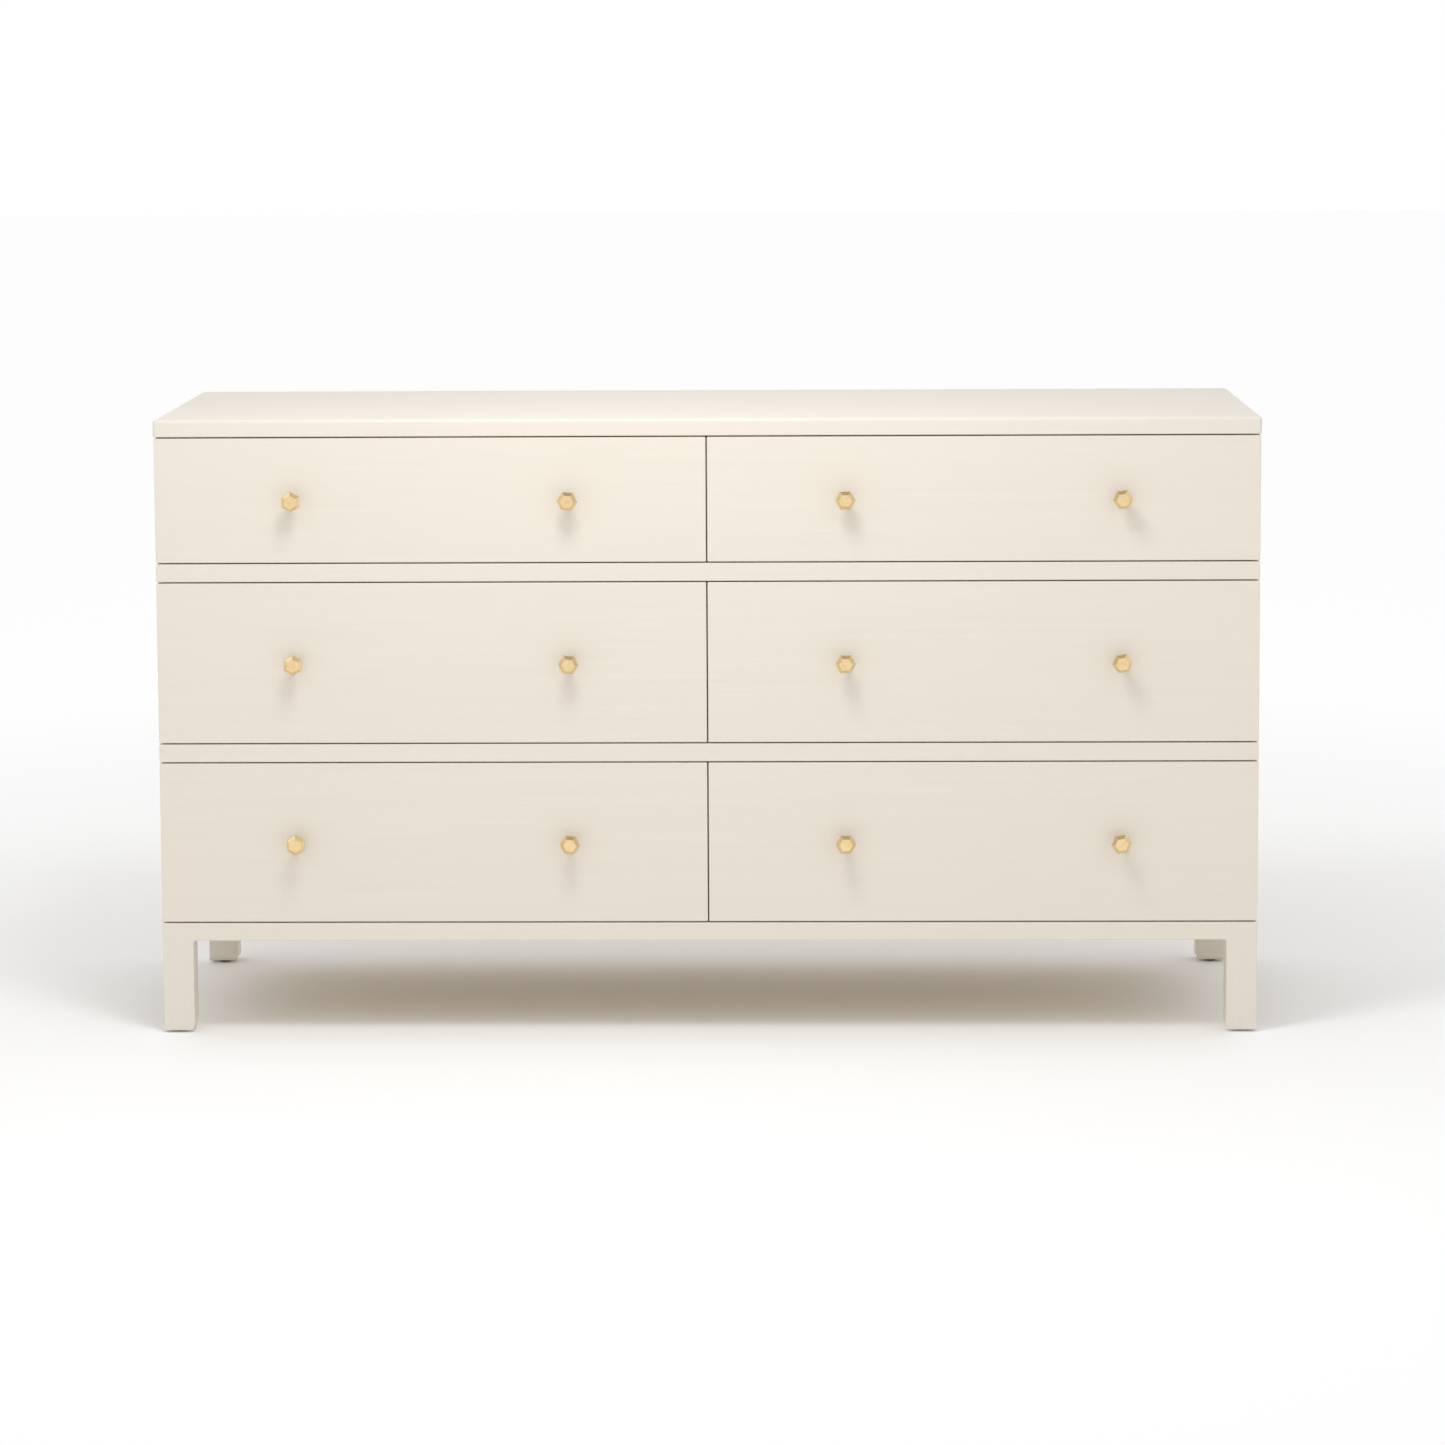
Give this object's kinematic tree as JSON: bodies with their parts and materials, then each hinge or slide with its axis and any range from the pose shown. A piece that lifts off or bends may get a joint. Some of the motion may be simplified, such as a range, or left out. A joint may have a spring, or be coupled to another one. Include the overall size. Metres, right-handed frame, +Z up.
{
  "type": "dresser with drawers",
  "caption": "Wide low dresser on short square legs: rows of overlay drawers divided by slim full-width rails, with small faceted knobs, under a plain slab top.",
  "frame": {"origin": "on the floor, under the centre of the whole bounding box, knobs included", "axes": "+X to the right of a person facing the dresser, +Y from the front to the back, +Z up; the drawers open along -Y"},
  "size_m": [1.524, 0.5338, 0.8577],
  "materials": {
    "ivory_linen_lacquer": "satin lacquer over fine linen-like cloth, on board",
    "case_board": "plain board",
    "drawer_maple": "clear matt lacquer on maple",
    "thin_plywood": "clear matt lacquer on plywood",
    "polished_brass": "polished",
    "zinc_plated_steel": "zinc plated",
    "glide_plastic": "moulded"
  },
  "bodies": {
    "carcass": {"top_panel": "ivory_linen_lacquer", "side_panel_left": "ivory_linen_lacquer", "side_panel_right": "ivory_linen_lacquer", "centre_divider": "case_board", "back_panel": "thin_plywood", "bottom_panel": "case_board", "front_rail_upper": "ivory_linen_lacquer", "front_rail_lower": "ivory_linen_lacquer", "top_stretchers": "case_board", "rear_stretchers": "case_board", "top_screws": "zinc_plated_steel", "base_rail_front": "ivory_linen_lacquer", "base_rail_rear": "ivory_linen_lacquer", "base_rails_side": "ivory_linen_lacquer", "legs_front": "ivory_linen_lacquer", "legs_rear": "ivory_linen_lacquer", "leg_glides": "glide_plastic", "case_slides": "zinc_plated_steel"},
    "drawer_bottom_left": {"drawer_front_bottom_left": "ivory_linen_lacquer", "drawer_sides_bottom_left": "drawer_maple", "drawer_ends_bottom_left": "drawer_maple", "drawer_floor_bottom_left": "thin_plywood", "knobs_bottom_left": "polished_brass", "drawer_slides_bottom_left": "zinc_plated_steel"},
    "middle_bottom_left": {"middle_slides_bottom_left": "zinc_plated_steel"},
    "drawer_bottom_right": {"drawer_front_bottom_right": "ivory_linen_lacquer", "drawer_sides_bottom_right": "drawer_maple", "drawer_ends_bottom_right": "drawer_maple", "drawer_floor_bottom_right": "thin_plywood", "knobs_bottom_right": "polished_brass", "drawer_slides_bottom_right": "zinc_plated_steel"},
    "middle_bottom_right": {"middle_slides_bottom_right": "zinc_plated_steel"},
    "drawer_middle_left": {"drawer_front_middle_left": "ivory_linen_lacquer", "drawer_sides_middle_left": "drawer_maple", "drawer_ends_middle_left": "drawer_maple", "drawer_floor_middle_left": "thin_plywood", "knobs_middle_left": "polished_brass", "drawer_slides_middle_left": "zinc_plated_steel"},
    "middle_middle_left": {"middle_slides_middle_left": "zinc_plated_steel"},
    "drawer_middle_right": {"drawer_front_middle_right": "ivory_linen_lacquer", "drawer_sides_middle_right": "drawer_maple", "drawer_ends_middle_right": "drawer_maple", "drawer_floor_middle_right": "thin_plywood", "knobs_middle_right": "polished_brass", "drawer_slides_middle_right": "zinc_plated_steel"},
    "middle_middle_right": {"middle_slides_middle_right": "zinc_plated_steel"},
    "drawer_top_left": {"drawer_front_top_left": "ivory_linen_lacquer", "drawer_sides_top_left": "drawer_maple", "drawer_ends_top_left": "drawer_maple", "drawer_floor_top_left": "thin_plywood", "knobs_top_left": "polished_brass", "drawer_slides_top_left": "zinc_plated_steel"},
    "middle_top_left": {"middle_slides_top_left": "zinc_plated_steel"},
    "drawer_top_right": {"drawer_front_top_right": "ivory_linen_lacquer", "drawer_sides_top_right": "drawer_maple", "drawer_ends_top_right": "drawer_maple", "drawer_floor_top_right": "thin_plywood", "knobs_top_right": "polished_brass", "drawer_slides_top_right": "zinc_plated_steel"},
    "middle_top_right": {"middle_slides_top_right": "zinc_plated_steel"}
  },
  "joints": [
    {"name": "drawer_bottom_left_slide", "type": "slide", "parent": "carcass", "child": "drawer_bottom_left", "axis": [0, -1, 0], "range_m": [0, 0.4]},
    {"name": "middle_bottom_left_slide", "type": "slide", "parent": "carcass", "child": "middle_bottom_left", "axis": [0, -1, 0], "range_m": [0, 0.2]},
    {"name": "drawer_bottom_right_slide", "type": "slide", "parent": "carcass", "child": "drawer_bottom_right", "axis": [0, -1, 0], "range_m": [0, 0.4]},
    {"name": "middle_bottom_right_slide", "type": "slide", "parent": "carcass", "child": "middle_bottom_right", "axis": [0, -1, 0], "range_m": [0, 0.2]},
    {"name": "drawer_middle_left_slide", "type": "slide", "parent": "carcass", "child": "drawer_middle_left", "axis": [0, -1, 0], "range_m": [0, 0.4]},
    {"name": "middle_middle_left_slide", "type": "slide", "parent": "carcass", "child": "middle_middle_left", "axis": [0, -1, 0], "range_m": [0, 0.2]},
    {"name": "drawer_middle_right_slide", "type": "slide", "parent": "carcass", "child": "drawer_middle_right", "axis": [0, -1, 0], "range_m": [0, 0.4]},
    {"name": "middle_middle_right_slide", "type": "slide", "parent": "carcass", "child": "middle_middle_right", "axis": [0, -1, 0], "range_m": [0, 0.2]},
    {"name": "drawer_top_left_slide", "type": "slide", "parent": "carcass", "child": "drawer_top_left", "axis": [0, -1, 0], "range_m": [0, 0.4]},
    {"name": "middle_top_left_slide", "type": "slide", "parent": "carcass", "child": "middle_top_left", "axis": [0, -1, 0], "range_m": [0, 0.2]},
    {"name": "drawer_top_right_slide", "type": "slide", "parent": "carcass", "child": "drawer_top_right", "axis": [0, -1, 0], "range_m": [0, 0.4]},
    {"name": "middle_top_right_slide", "type": "slide", "parent": "carcass", "child": "middle_top_right", "axis": [0, -1, 0], "range_m": [0, 0.2]}
  ],
  "couplings": [
    {"joint": "middle_bottom_left_slide", "follows": "drawer_bottom_left_slide", "ratio": 0.5},
    {"joint": "middle_bottom_right_slide", "follows": "drawer_bottom_right_slide", "ratio": 0.5},
    {"joint": "middle_middle_left_slide", "follows": "drawer_middle_left_slide", "ratio": 0.5},
    {"joint": "middle_middle_right_slide", "follows": "drawer_middle_right_slide", "ratio": 0.5},
    {"joint": "middle_top_left_slide", "follows": "drawer_top_left_slide", "ratio": 0.5},
    {"joint": "middle_top_right_slide", "follows": "drawer_top_right_slide", "ratio": 0.5}
  ]
}
